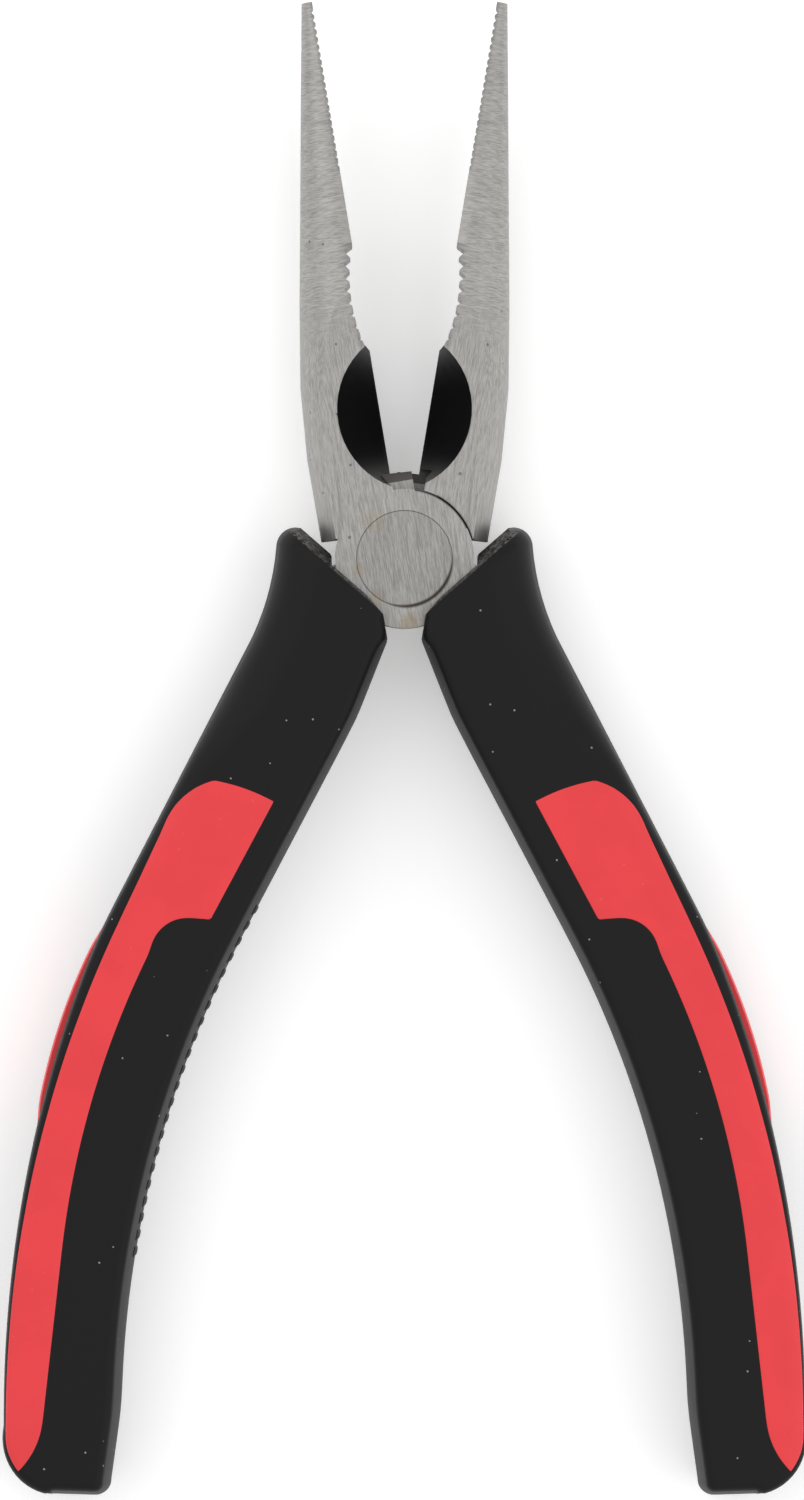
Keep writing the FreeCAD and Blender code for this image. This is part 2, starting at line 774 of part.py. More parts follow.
def place(body, turned_over):
    """Puts a piece on its lever: turned about the rivet, and turned over for the back lever."""
    angle = cell("half_opening")
    up = pivot_height()
    if turned_over:
        axis = V(sine(angle / 2).value, cosine(angle / 2).value, 0)
        turn = FreeCAD.Rotation(axis, 180)
    else:
        turn = FreeCAD.Rotation(V(0, 0, 1), angle.value)
    body.Placement = FreeCAD.Placement(V(0, up.value, half_grip.value), turn)
    bind(body, "Placement.Base.y", up)
    bind(body, "Placement.Base.z", half_grip)
    if turned_over:
        bind(body, "Placement.Rotation.Axis.x", sine(angle / 2))
        bind(body, "Placement.Rotation.Axis.y", cosine(angle / 2))
    else:
        bind(body, "Placement.Rotation.Angle", angle)


pieces = []
for side, turned_over in (("front", False), ("rear", True)):
    hand = "left" if turned_over else "right"
    lever = [
        make_forging(f"{side}_lever_forging"),
        make_sleeve(f"{hand}_grip_sleeve"),
        make_face_inlay(f"{hand}_grip_front_inlay", -1 if turned_over else 1),
        make_face_inlay(f"{hand}_grip_rear_inlay", 1 if turned_over else -1),
        make_edge_inlay(f"{hand}_grip_edge_inlay"),
    ]
    for piece in lever:
        place(piece, turned_over)
    pieces += lever
rivet = make_rivet("pivot_rivet")
place(rivet, False)
pieces.append(rivet)

doc.recompute()
for thing in doc.Objects:
    if "Invalid" in thing.State or "Error" in thing.State:
        raise RuntimeError(f"{thing.Label}: {thing.State} {thing.getStatusString()}")
for piece in pieces:
    if piece.Shape.isNull() or not piece.Shape.isValid():
        raise RuntimeError(f"{piece.Label} has no valid shape")
    if len(piece.Shape.Solids) != 1:
        raise RuntimeError(f"{piece.Label} is {len(piece.Shape.Solids)} solids")

os.makedirs("parts", exist_ok=True)
for piece in pieces:
    piece.Shape.exportStep(f"parts/{piece.Label}.step")
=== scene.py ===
"""Finish for a pair of long-nose pliers: ground steel levers and two-colour moulded grips.

Run as a script. Shapes are worked out in millimetres in a lever's own frame: the rivet at the
origin, the jaws shut, "across" out towards the handle's side and "along" up towards the jaw tips.
"""

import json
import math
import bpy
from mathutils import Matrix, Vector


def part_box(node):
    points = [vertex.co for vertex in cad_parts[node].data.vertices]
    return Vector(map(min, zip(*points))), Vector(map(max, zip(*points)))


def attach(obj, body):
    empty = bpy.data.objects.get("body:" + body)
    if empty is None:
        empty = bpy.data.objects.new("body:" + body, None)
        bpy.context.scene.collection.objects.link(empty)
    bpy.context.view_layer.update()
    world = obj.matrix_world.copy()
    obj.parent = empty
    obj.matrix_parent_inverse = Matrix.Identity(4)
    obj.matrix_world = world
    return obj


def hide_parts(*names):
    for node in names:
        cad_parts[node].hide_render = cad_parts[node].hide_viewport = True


bl_info = {
    "name": "Long-nose pliers finish",
    "version": (1, 0, 0),
    "blender": (4, 5, 0),
    "location": "3D View > Sidebar > Pliers",
    "description": "Builds the moulded grips and the steel finish of a pair of long-nose pliers",
    "category": "Object",
}

import bmesh
import bpy
import numpy as np
from bpy.props import FloatProperty, FloatVectorProperty, IntProperty, PointerProperty
from mathutils import Vector
from mathutils.geometry import delaunay_2d_cdt

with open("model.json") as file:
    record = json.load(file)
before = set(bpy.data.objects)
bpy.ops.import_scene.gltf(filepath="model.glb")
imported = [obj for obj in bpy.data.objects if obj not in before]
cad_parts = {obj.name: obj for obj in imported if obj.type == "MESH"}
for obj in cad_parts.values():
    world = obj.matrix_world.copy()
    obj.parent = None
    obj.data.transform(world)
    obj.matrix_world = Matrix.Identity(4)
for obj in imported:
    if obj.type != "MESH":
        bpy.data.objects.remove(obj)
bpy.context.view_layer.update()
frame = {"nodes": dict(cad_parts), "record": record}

MM = 0.001
HINGE = frame["record"]["behaviour"]["joints"][0]
PIVOT = Vector(HINGE["pos_m"])
HALF_OPENING = math.radians(HINGE["range_deg"][1]) / 2
COS, SIN = math.cos(HALF_OPENING), math.sin(HALF_OPENING)

rivet_low, rivet_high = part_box("pivot_rivet")
RIVET_RADIUS = (rivet_high.x - rivet_low.x) / 2 / MM
JOINT_HALF = (rivet_high.z - rivet_low.z) / 2 / MM
GRIP_HALF = PIVOT.z / MM
DISC_RADIUS = 7.2
ROOM_RADIUS, ROOM_DEPTH = 7.6, 10.1
CUTTER_CENTRE = (4.44, 15.0)
CUTTER_RADIUS = 9.05

# The straight edge of each grip's end face, from the crotch to the thumb guard.
CHORD_FOOT = np.array([1.2, -6.1])
CHORD_TOP = np.array([12.69, 0.97])
CHORD = CHORD_TOP - CHORD_FOOT
CHORD_LENGTH = np.linalg.norm(CHORD)
CHORD_OUT = np.array([-CHORD[1], CHORD[0]]) / CHORD_LENGTH

LEVERS = {"right": (1, "front_lever"), "left": (-1, "rear_lever")}
INNER, OUTER, SLOPE = 0, 1, 2
TINY = 1e-9


# ---------------------------------------------------------------- settings


class PliersSettings(bpy.types.PropertyGroup):
    """Sizes and colours that a user would change."""

    inner_draft: FloatProperty(
        name="Inner draft",
        description="How far the grip's inner side leans in from its parting line to its face",
        default=0.65 * MM,
        unit="LENGTH",
    )
    outer_draft: FloatProperty(
        name="Outer draft",
        description="How far the grip's outer side leans in from its parting line",
        default=0.25 * MM,
        unit="LENGTH",
    )
    neck_rounding: FloatProperty(
        name="Neck rounding",
        description="Width of the outer rounding beside the thumb guard",
        default=5.5 * MM,
        unit="LENGTH",
    )
    tail_rounding: FloatProperty(
        name="Tail rounding",
        description="Width of the outer rounding at the lower end of the grip",
        default=1.1 * MM,
        unit="LENGTH",
    )
    inlay_relief: FloatProperty(
        name="Inlay relief",
        description="How far the red inlays stand above the black around them",
        default=0.06 * MM,
        unit="LENGTH",
    )
    rib_count: IntProperty(
        name="Ribs",
        description="Raised ribs on the inner side of the left grip",
        default=22,
        min=1,
    )
    steel: FloatVectorProperty(
        name="Steel",
        description="Colour of the ground steel",
        subtype="COLOR",
        default=(0.41, 0.40, 0.385),
    )
    black: FloatVectorProperty(
        name="Black grip",
        description="Colour of the black moulding",
        subtype="COLOR",
        default=(0.0058, 0.0055, 0.0061),
    )
    red: FloatVectorProperty(
        name="Red inlay",
        description="Colour of the red moulding",
        subtype="COLOR",
        default=(0.79, 0.055, 0.063),
    )


def settings():
    return bpy.context.scene.pliers_settings


# ---------------------------------------------------------------- lever frame


def to_lever(points, side):
    """Row frame in metres to a lever's own frame in millimetres."""
    points = np.asarray(points, float) / MM
    x = points[:, 0] * side
    y = points[:, 1] - PIVOT.y / MM
    return np.column_stack([x * COS + y * SIN, y * COS - x * SIN, points[:, 2] - GRIP_HALF])


def from_lever(points, side):
    """A lever's own frame in millimetres to the row frame in metres."""
    points = np.asarray(points, float)
    x = points[:, 0] * COS - points[:, 1] * SIN
    y = points[:, 0] * SIN + points[:, 1] * COS
    return np.column_stack([x * side, y + PIVOT.y / MM, points[:, 2] + GRIP_HALF]) * MM


def node_points(node, side):
    mesh = frame["nodes"][node].data
    return to_lever([v.co for v in mesh.vertices], side)


def side_edges(node, side, rows):
    """The least and greatest across of a CAD node at each row."""
    points = node_points(node, side)
    pairs = np.array([e.vertices[:] for e in frame["nodes"][node].data.edges])
    low, high = points[pairs[:, 0]], points[pairs[:, 1]]
    left, right = [], []
    for row in rows:
        a, b = low[:, 1] - row, high[:, 1] - row
        crossing = (a * b <= 0) & (np.abs(a - b) > TINY)
        share = (a / np.where(a == b, 1, a - b))[crossing]
        across = low[crossing, 0] + share * (high[crossing, 0] - low[crossing, 0])
        left.append(across.min())
        right.append(across.max())
    return np.array(left), np.array(right)


def ease(value, start, end):
    """0 at start, 1 at end, smooth in between."""
    t = np.clip((value - start) / (end - start), 0, 1)
    return t * t * (3 - 2 * t)


def smoothed(edge, passes):
    """Takes the facets out of an open run of values and holds its two ends."""
    smooth = edge.copy()
    for _ in range(passes):
        smooth[1:-1] = (smooth[:-2] + smooth[1:-1] * 2 + smooth[2:]) / 4
    return smooth


def even_out(points, labels, step):
    """Splits a closed outline's long segments, so that none is longer than step."""
    out, tags = [], []
    for index, point in enumerate(points):
        following = points[(index + 1) % len(points)]
        parts = max(1, math.ceil(np.linalg.norm(following - point) / step))
        for part in range(parts):
            out.append(point + (following - point) * part / parts)
            tags.append(labels[index])
    return np.array(out), np.array(tags)


def relax(points, passes, corner=25.0):
    """Takes the facets out of a closed outline and leaves its corners."""
    points = points.copy()
    for _ in range(passes):
        before, after = np.roll(points, 1, 0), np.roll(points, -1, 0)
        a, b = points - before, after - points
        turn = np.degrees(np.abs(np.arctan2(a[:, 0] * b[:, 1] - a[:, 1] * b[:, 0], (a * b).sum(1))))
        free = (turn < corner)[:, None]
        points = np.where(free, points * 0.5 + (before + after) * 0.25, points)
    return points


def inward(points):
    """The inward normal at each point of an outline that runs anticlockwise."""
    along = np.roll(points, -1, 0) - np.roll(points, 1, 0)
    along /= np.maximum(np.linalg.norm(along, axis=1), TINY)[:, None]
    return np.column_stack([-along[:, 1], along[:, 0]])


def distance_to(points, starts, ends, least_square=1e-12):
    """How far each point is from the nearest of these segments."""
    best = np.full(len(points), np.inf)
    for start, end in zip(starts, ends):
        run = end - start
        share = np.clip(((points - start) @ run) / max(run @ run, least_square), 0, 1)
        gap = points - start - share[:, None] * run
        best = np.minimum(best, (gap**2).sum(1))
    return np.sqrt(best)


def inside(points, outline):
    """Which points lie within a closed outline."""
    within = np.zeros(len(points), bool)
    for start, end in zip(outline, np.roll(outline, -1, 0)):
        if start[1] == end[1]:
            continue
        spans = (start[1] > points[:, 1]) != (end[1] > points[:, 1])
        crossing = start[0] + (points[:, 1] - start[1]) * (end[0] - start[0]) / (end[1] - start[1])
        within ^= spans & (points[:, 0] < crossing)
    return within


def beyond_chord(points):
    """How far each point is outside the straight edge of the end face."""
    return (points - CHORD_FOOT) @ CHORD_OUT


def chord_lines(pitch=0.3, spread=(-0.12, -0.05, 0.0, 0.05, 0.12), margin=0.01):
    """Points along the straight edge of the end face and close to both sides of it."""
    share = np.linspace(margin, 1 - margin, int(CHORD_LENGTH / pitch))[:, None]
    return np.vstack([CHORD_FOOT + CHORD * share + CHORD_OUT * offset for offset in spread])


def fill(outline, steps, pitch, lines=None):
    """Triangulates an outline through rings at these distances inside it and an even grid."""
    line_clearance = 0.06
    ring_share, row_share, grid_share = 0.97, 0.87, 0.6
    only_inside, weld = 1, 1e-5
    ends = np.roll(outline, -1, 0)
    normals = inward(outline)
    extra = []
    if lines is not None:
        extra.append(lines[distance_to(lines, outline, ends) > line_clearance])
    for step in steps:
        ring = outline + normals * step
        extra.append(ring[distance_to(ring, outline, ends) > step * ring_share])
    low, high = outline.min(0), outline.max(0)
    columns = np.arange(low[0], high[0], pitch)
    rows = np.arange(low[1], high[1], pitch * row_share)
    xs, ys = np.meshgrid(columns, rows)
    xs[1::2] += pitch / 2
    grid = np.column_stack([xs.ravel(), ys.ravel()])
    extra.append(grid[distance_to(grid, outline, ends) > max(steps) + pitch * grid_share])
    extra = np.vstack(extra)
    coords = [Vector(p) for p in np.vstack([outline, extra[inside(extra, outline)]])]
    made = delaunay_2d_cdt(coords, [], [list(range(len(outline)))], only_inside, weld)
    points = np.array([tuple(p) for p in made[0]])
    where = {old: new for new, olds in enumerate(made[3]) for old in olds}
    used = [where[index] for index in range(len(outline))]
    return points, [list(face) for face in made[2]], used


# ---------------------------------------------------------------- meshes


def add_object(name, data):
    """A new object in the scene."""
    added = bpy.data.objects.new(name, data)
    bpy.context.scene.collection.objects.link(added)
    return added


def make_piece(name, points, faces, hand, kind, sharp=38.0, weld=1e-7):
    """A closed mesh in the lever's frame becomes a black or red piece that rides on its body."""
    side, body = LEVERS[hand]
    mesh = bpy.data.meshes.new(name)
    mesh.from_pydata([tuple(p) for p in from_lever(points, side)], [], faces)
    work = bmesh.new()
    work.from_mesh(mesh)
    bmesh.ops.remove_doubles(work, verts=work.verts, dist=weld)
    bmesh.ops.recalc_face_normals(work, faces=work.faces)
    work.to_mesh(mesh)
    work.free()
    mesh.shade_smooth()
    mesh.set_sharp_from_angle(angle=math.radians(sharp))
    mesh.materials.append(skin(kind, hand))
    piece = add_object(name, mesh)
    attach(piece, body)
    return piece


class Grip:
    """The outline and the face height of one grip."""

    rows = 260
    end_trim = 0.02
    outline_step = 0.6
    edge_passes, draft_passes = 30, 4

    # Places along the lever, from the joint down to the grip's lower end.
    nip, crotch = -7.4, -10.4
    neck, neck_end = -14.0, -20.0
    head, bow = -27.0, -45.0
    tail, tail_end = -92.0, -97.0

    end_face_slope = 3.7
    guard_ridge = 2.1
    bow_widening = 2
    wall_share, wall_least, wall_most = 0.85, 0.9, 4.4
    inner_wall, inner_radius = 1.0, 0.95

    def __init__(self, hand):
        self.side, _ = LEVERS[hand]
        self.node = f"{hand}_grip_sleeve"
        choice = settings()
        self.face = GRIP_HALF - choice.inlay_relief / MM
        heights = node_points(self.node, self.side)[:, 1]
        top, bottom = heights.max() - self.end_trim, heights.min() + self.end_trim
        spread = (1 - np.cos(np.linspace(0, math.pi, self.rows))) / 2
        self.row = top + (bottom - top) * spread
        left, right = side_edges(self.node, self.side, self.row)
        self.left, self.right = self.soften(left), self.soften(right)

        points = np.vstack(
            [
                np.column_stack([self.left, self.row]),
                np.column_stack([self.right, self.row])[::-1],
            ]
        )
        labels = [SLOPE if row > CHORD_FOOT[1] else INNER for row in self.row]
        labels[-1] = OUTER
        labels += [OUTER] * self.rows
        self.outline, self.labels = even_out(points, labels, self.outline_step)

        draft = choice.inner_draft / MM * ease(self.outline[:, 1], self.nip, self.crotch)
        inset = np.choose(self.labels, [draft, choice.outer_draft / MM, 0.0])
        for _ in range(self.draft_passes):
            inset = (np.roll(inset, 1) + inset * 2 + np.roll(inset, -1)) / 4
        self.face_outline = self.outline + inward(self.outline) * inset[:, None]

    def soften(self, edge):
        """Takes the facets out of the long curves and leaves the ends as they are."""
        smooth = smoothed(edge, self.edge_passes)
        keep = ease(self.row, self.neck, self.neck_end) * ease(self.row, self.tail_end, self.tail)
        return edge + (smooth - edge) * keep

    def height(self, points):
        """How high the front face stands above the middle plane at each point."""
        choice = settings()
        starts, ends = self.face_outline, np.roll(self.face_outline, -1, 0)
        gap = [
            distance_to(points, starts[self.labels == label], ends[self.labels == label])
            for label in (INNER, OUTER)
        ]
        along = points[:, 1]
        wide = choice.neck_rounding / MM
        narrow = choice.tail_rounding / MM
        middle = narrow * self.bow_widening
        radius = wide + (middle - wide) * (1 - ease(along, self.head, self.neck))
        radius = radius + (narrow - middle) * (1 - ease(along, self.bow, self.head))
        wall = self.face - np.clip(radius * self.wall_share, self.wall_least, self.wall_most)
        outer = self.rounded(gap[OUTER], wall, radius)
        inner = self.rounded(gap[INNER], self.face - self.inner_wall, self.inner_radius)
        slope = self.face - beyond_chord(points) * self.end_face_slope
        slope = np.maximum(slope, self.guard_ridge)
        return np.minimum(np.minimum(outer, inner), np.minimum(slope, self.face))

    def rounded(self, gap, wall, radius):
        """An edge that rises upright from the wall and bends over into the flat face."""
        outward = np.clip(1 - gap / radius, 0, 1)
        return wall + (self.face - wall) * np.sqrt(1 - outward**2)


def shell(outline, middle, points, faces, used, height):
    """A front sheet, its mirror image behind, and the side wall that joins them."""
    levels = [1.0, 0.8, 0.55, 0.3, 0.0, -0.3, -0.55, -0.8, -1.0]
    wall_curve = 1.7
    count = len(points)
    front = np.column_stack([points, height])
    back = np.column_stack([points, -height])
    solid = [tuple(p) for p in np.vstack([front, back])]
    skins = [list(face) for face in faces] + [[i + count for i in face[::-1]] for face in faces]
    rings = []
    for level in levels:
        if abs(level) == 1.0:
            offset = 0 if level > 0 else count
            rings.append([u + offset for u in used])
            continue
        ring = []
        for index, vertex in enumerate(used):
            lean = abs(level) ** wall_curve
            place = middle[index] + (outline[index] - middle[index]) * lean
            ring.append(len(solid))
            solid.append((place[0], place[1], height[vertex] * level))
        rings.append(ring)
    total = len(used)
    for upper, lower in zip(rings, rings[1:]):
        for index in range(total):
            following = (index + 1) % total
            skins.append([upper[index], lower[index], lower[following], upper[following]])
    return np.array(solid), skins


def hollow_out(piece, radius, depth, segments=128):
    """Cuts the round room for the joint out of a grip."""
    work = bmesh.new()
    bmesh.ops.create_cone(
        work,
        cap_ends=True,
        segments=segments,
        radius1=radius * MM,
        radius2=radius * MM,
        depth=depth * MM,
    )
    bmesh.ops.translate(work, verts=work.verts, vec=PIVOT)
    mesh = bpy.data.meshes.new("joint_room")
    work.to_mesh(mesh)
    work.free()
    tool = add_object("joint_room", mesh)
    cut = piece.modifiers.new("Joint room", "BOOLEAN")
    cut.operation = "DIFFERENCE"
    cut.solver = "EXACT"
    cut.object = tool
    bpy.context.view_layer.update()
    depsgraph = bpy.context.evaluated_depsgraph_get()
    result = bpy.data.meshes.new_from_object(piece.evaluated_get(depsgraph))
    piece.modifiers.remove(cut)
    piece.data = result
    bpy.data.objects.remove(tool)


def cap_outline(node, side, step=0.3, passes=12):
    """The outline of a CAD inlay's front or back face, anticlockwise, without its facets."""
    decimals, faces_up = 4, 0.99
    points = node_points(node, side)
    mesh = frame["nodes"][node].data
    keys = {}
    merged = [
        keys.setdefault((round(p[0], decimals), round(p[1], decimals)), len(keys)) for p in points
    ]
    places = np.array(list(keys))
    uses = {}
    for polygon in mesh.polygons:
        if polygon.normal.z < faces_up:
            continue
        ring = [merged[i] for i in polygon.vertices]
        for a, b in zip(ring, ring[1:] + ring[:1]):
            uses[frozenset((a, b))] = uses.get(frozenset((a, b)), 0) + 1
    links = {}
    for edge in [tuple(e) for e, n in uses.items() if n == 1 and len(e) == 2]:
        for a, b in (edge, edge[::-1]):
            links.setdefault(a, []).append(b)
    start = next(iter(links))
    loop, last = [start], None
    while True:
        following = [n for n in links[loop[-1]] if n != last][0]
        if following == start:
            break
        last = loop[-1]
        loop.append(following)
    outline = places[loop]
    ahead = np.roll(outline, -1, 0)
    turn = (outline[:, 0] * ahead[:, 1] - ahead[:, 0] * outline[:, 1]).sum()
    if turn < 0:
        outline = outline[::-1]
    outline, _ = even_out(outline, [0] * len(outline), step)
    return relax(outline, passes)


# ---------------------------------------------------------------- node shorthand


class Nodes:
    """Adds nodes to a tree and links or sets their inputs."""

    def __init__(self, tree):
        self.tree = tree

    def feed(self, socket, value):
        if isinstance(value, bpy.types.NodeSocket):
            self.tree.links.new(value, socket)
        elif value is not None:
            socket.default_value = value

    def add(self, kind, inputs=None, **options):
        node = self.tree.nodes.new(kind)
        for key, value in options.items():
            setattr(node, key, value)
        for key, value in (inputs or {}).items():
            self.feed(node.inputs[key], value)
        return node

    def math(self, operation, *values, clamp=False):
        inputs = dict(enumerate(values))
        return self.add("ShaderNodeMath", inputs, operation=operation, use_clamp=clamp).outputs[0]

    def ramp(self, value, start, end):
        """0 at start, 1 at end, smooth in between; start may be the greater."""
        flip = start > end
        low, high = min(start, end), max(start, end)
        inputs = {"Value": value, "From Min": low, "From Max": high}
        node = self.add("ShaderNodeMapRange", inputs, interpolation_type="SMOOTHSTEP")
        if flip:
            return self.math("SUBTRACT", 1.0, node.outputs[0])
        return node.outputs[0]

    def length(self, first, second):
        """How long the line is whose two legs are these."""
        squares = [self.math("MULTIPLY", leg, leg) for leg in (first, second)]
        return self.math("SQRT", self.math("ADD", *squares))

    def mix(self, factor, first, second, strength=None):
        """First, turned towards second by factor, times strength where it is given."""
        if strength is not None:
            factor = self.math("MULTIPLY", factor, strength)
        node = self.add("ShaderNodeMix", data_type="RGBA")
        factor_in, first_in, second_in, colour_out = 0, 6, 7, 2
        self.feed(node.inputs[factor_in], factor)
        self.feed(node.inputs[first_in], first)
        self.feed(node.inputs[second_in], second)
        return node.outputs[colour_out]

    def noise(self, vector, scale, detail=3.0, roughness=0.55):
        inputs = {"Vector": vector, "Scale": scale, "Detail": detail, "Roughness": roughness}
        return self.add("ShaderNodeTexNoise", inputs).outputs[0]

    def group(self, tree, inputs=None):
        node = self.add("ShaderNodeGroup", node_tree=tree)
        for key, value in (inputs or {}).items():
            self.feed(node.inputs[key], value)
        return node.outputs


def new_group(name, inputs, outputs):
    """An empty node group with float sockets, and its ends."""
    tree = bpy.data.node_groups.new(name, "ShaderNodeTree")
    kind = "NodeSocketFloat"
    for label, default in inputs:
        socket = tree.interface.new_socket(name=label, in_out="INPUT", socket_type=kind)
        socket.default_value = default
    for label in outputs:
        tree.interface.new_socket(name=label, in_out="OUTPUT", socket_type=kind)
    nodes = Nodes(tree)
    return tree, nodes, nodes.add("NodeGroupInput").outputs, nodes.add("NodeGroupOutput").inputs


def shared_group(name, build):
    """A node group that is built once and used by many materials."""
    return bpy.data.node_groups.get(name) or build(name)


def lever_place(name="Lever place"):
    """Where a surface point is in its lever's own frame, in millimetres."""
    tree, nodes, entry, out = new_group(name, [("Side", 1.0)], ["Across", "Along", "Height"])
    place = nodes.add("ShaderNodeTexCoord").outputs["Object"]
    part = nodes.add("ShaderNodeSeparateXYZ", {0: place}).outputs
    x = nodes.math("MULTIPLY", nodes.math("MULTIPLY", part[0], entry["Side"]), 1 / MM)
    y = nodes.math("MULTIPLY", nodes.math("SUBTRACT", part[1], PIVOT.y), 1 / MM)
    across = nodes.math("MULTIPLY_ADD", x, COS, nodes.math("MULTIPLY", y, SIN))
    along = nodes.math("SUBTRACT", nodes.math("MULTIPLY", y, COS), nodes.math("MULTIPLY", x, SIN))
    height = nodes.math("MULTIPLY", nodes.math("SUBTRACT", part[2], PIVOT.z), 1 / MM)
    for label, value in (("Across", across), ("Along", along), ("Height", height)):
        nodes.feed(out[label], value)
    return tree


def grinding_marks(name="Grinding marks"):
    """Fine parallel scratches, lengthwise at Cross 0 and crosswise at Cross 1."""
    inputs = [("Across", 0.0), ("Along", 0.0), ("Height", 0.0), ("Cross", 0.0)]
    tree, nodes, entry, out = new_group(name, inputs, ["Tone", "Relief"])
    # How close the streaks lie, per millimetre across, along and in height.
    fine_lengthwise, fine_crosswise, fine_detail = (10.0, 0.7, 10.0), (1.0, 9.0, 1.0), 4.0
    broad_lengthwise, broad_crosswise, broad_detail = (2.4, 0.12, 2.4), (0.24, 2.0, 0.24), 2.0
    raggedness, fine_share, broad_share = 0.65, 0.8, 0.2

    def streaks(spacing, detail):
        scaled = [
            nodes.math("MULTIPLY", entry[axis], amount)
            for axis, amount in zip(("Across", "Along", "Height"), spacing)
        ]
        vector = nodes.add("ShaderNodeCombineXYZ", dict(enumerate(scaled))).outputs[0]
        return nodes.noise(vector, scale=1.0, detail=detail, roughness=raggedness)

    def either(lengthwise, crosswise, detail):
        rest = nodes.math("SUBTRACT", 1.0, entry["Cross"])
        crossed = nodes.math("MULTIPLY", streaks(crosswise, detail), entry["Cross"])
        return nodes.math("MULTIPLY_ADD", streaks(lengthwise, detail), rest, crossed)

    fine = either(fine_lengthwise, fine_crosswise, fine_detail)
    broad = either(broad_lengthwise, broad_crosswise, broad_detail)
    broad = nodes.math("MULTIPLY", broad, broad_share)
    tone = nodes.math("MULTIPLY_ADD", fine, fine_share, broad)
    nodes.feed(out["Tone"], tone)
    nodes.feed(out["Relief"], fine)
    return tree


def stain(name="Stain"):
    """A ragged blot round a point."""
    places = ("Across", "Along", "Centre across", "Centre along")
    inputs = [(label, 0.0) for label in places] + [("Radius", 1.0)]
    tree, nodes, entry, out = new_group(name, inputs, ["Mask"])
    scale, detail, roughness, raggedness = 2.2, 5.0, 0.7, 1.6
    edge, full = 1.0, 0.35
    reach = nodes.length(
        nodes.math("SUBTRACT", entry["Across"], entry["Centre across"]),
        nodes.math("SUBTRACT", entry["Along"], entry["Centre along"]),
    )
    vector = nodes.add("ShaderNodeCombineXYZ", {0: entry["Across"], 1: entry["Along"]}).outputs[0]
    ragged = nodes.math("SUBTRACT", nodes.noise(vector, scale, detail, roughness), 0.5)
    share = nodes.math("DIVIDE", reach, entry["Radius"])
    value = nodes.math("ADD", share, nodes.math("MULTIPLY", ragged, raggedness))
    nodes.feed(out["Mask"], nodes.ramp(value, edge, full))
    return tree


def rivet_ring(name="Rivet ring"):
    """The hairline round the rivet's head, wider at its lower right."""
    inputs = [("Across", 0.0), ("Along", 0.0), ("Side", 1.0)]
    tree, nodes, entry, out = new_group(name, inputs, ["Line", "Brown"])
    lean_right, lean_down = 0.45, 0.9
    lean_start, lean_full = 0.45, 0.95
    hairline, widening = 0.09, 0.2
    across, along = entry["Across"], entry["Along"]
    reach = nodes.length(across, along)
    gap = nodes.math("ABSOLUTE", nodes.math("SUBTRACT", reach, RIVET_RADIUS))
    lean = nodes.math(
        "MULTIPLY_ADD",
        nodes.math("MULTIPLY", across, entry["Side"]),
        lean_right / RIVET_RADIUS,
        nodes.math("MULTIPLY", along, -lean_down / RIVET_RADIUS),
    )
    lower = nodes.ramp(lean, lean_start, lean_full)
    width = nodes.math("MULTIPLY_ADD", lower, widening, hairline)
    line = nodes.math("SUBTRACT", 1.0, nodes.math("DIVIDE", gap, width), clamp=True)
    nodes.feed(out["Line"], line)
    nodes.feed(out["Brown"], nodes.math("MULTIPLY", line, lower))
    return tree


def joint_gap(name="Joint gap"):
    """The shadow line where one lever's disc runs in the other lever's shoulder."""
    inputs = [("Across", 0.0), ("Along", 0.0), ("Height", 0.0), ("Side", 1.0)]
    tree, nodes, entry, out = new_group(name, inputs, ["Line"])
    half_gap, spread, core = 0.03, 0.18, 1.3
    from_across, from_along = 2.2, 2.0
    across, along = entry["Across"], entry["Along"]
    off_line = nodes.math("SUBTRACT", nodes.length(across, along), DISC_RADIUS + half_gap)
    gap = nodes.math("ABSOLUTE", off_line)
    line = nodes.math("SUBTRACT", core, nodes.math("DIVIDE", gap, spread), clamp=True)
    facing = nodes.math("SIGN", nodes.math("MULTIPLY", entry["Height"], entry["Side"]))
    quadrant = nodes.math("GREATER_THAN", nodes.math("MULTIPLY", across, facing), from_across)
    quadrant = nodes.math("MULTIPLY", quadrant, nodes.math("GREATER_THAN", along, from_along))
    nodes.feed(out["Line"], nodes.math("MULTIPLY", line, quadrant))
    return tree


def painted_tooth_shade(name="Painted tooth shade"):
    """Painted shade in the tooth notches along the mouth edge of one run of teeth."""
    inputs = [("Across", 0.0), ("Along", 0.0), ("First", 0.0), ("Last", 1.0), ("Depth", 0.4)]
    tree, nodes, entry, out = new_group(name, inputs, ["Mask"])
    core = 1.15
    share = nodes.math("DIVIDE", nodes.math("ABSOLUTE", entry["Across"]), entry["Depth"])
    near = nodes.math("SUBTRACT", core, share, clamp=True)
    past_first = nodes.math("GREATER_THAN", entry["Along"], entry["First"])
    before_last = nodes.math("LESS_THAN", entry["Along"], entry["Last"])
    toothed = nodes.math("MULTIPLY", past_first, before_last)
    nodes.feed(out["Mask"], nodes.math("MULTIPLY", near, toothed))
    return tree


def specks(name="Specks"):
    """Sparse tiny dots, as of dust or pits."""
    inputs = [("Scale", 500.0), ("Size", 0.08), ("Share", 0.2)]
    tree, nodes, entry, out = new_group(name, inputs, ["Mask"])
    place = nodes.add("ShaderNodeTexCoord").outputs["Object"]
    cells = nodes.add("ShaderNodeTexVoronoi", {"Vector": place, "Scale": entry["Scale"]})
    near = nodes.math("LESS_THAN", cells.outputs["Distance"], entry["Size"])
    pick = nodes.add("ShaderNodeSeparateXYZ", {0: cells.outputs["Color"]}).outputs[0]
    picked = nodes.math("LESS_THAN", pick, entry["Share"])
    nodes.feed(out["Mask"], nodes.math("MULTIPLY", near, picked))
    return tree


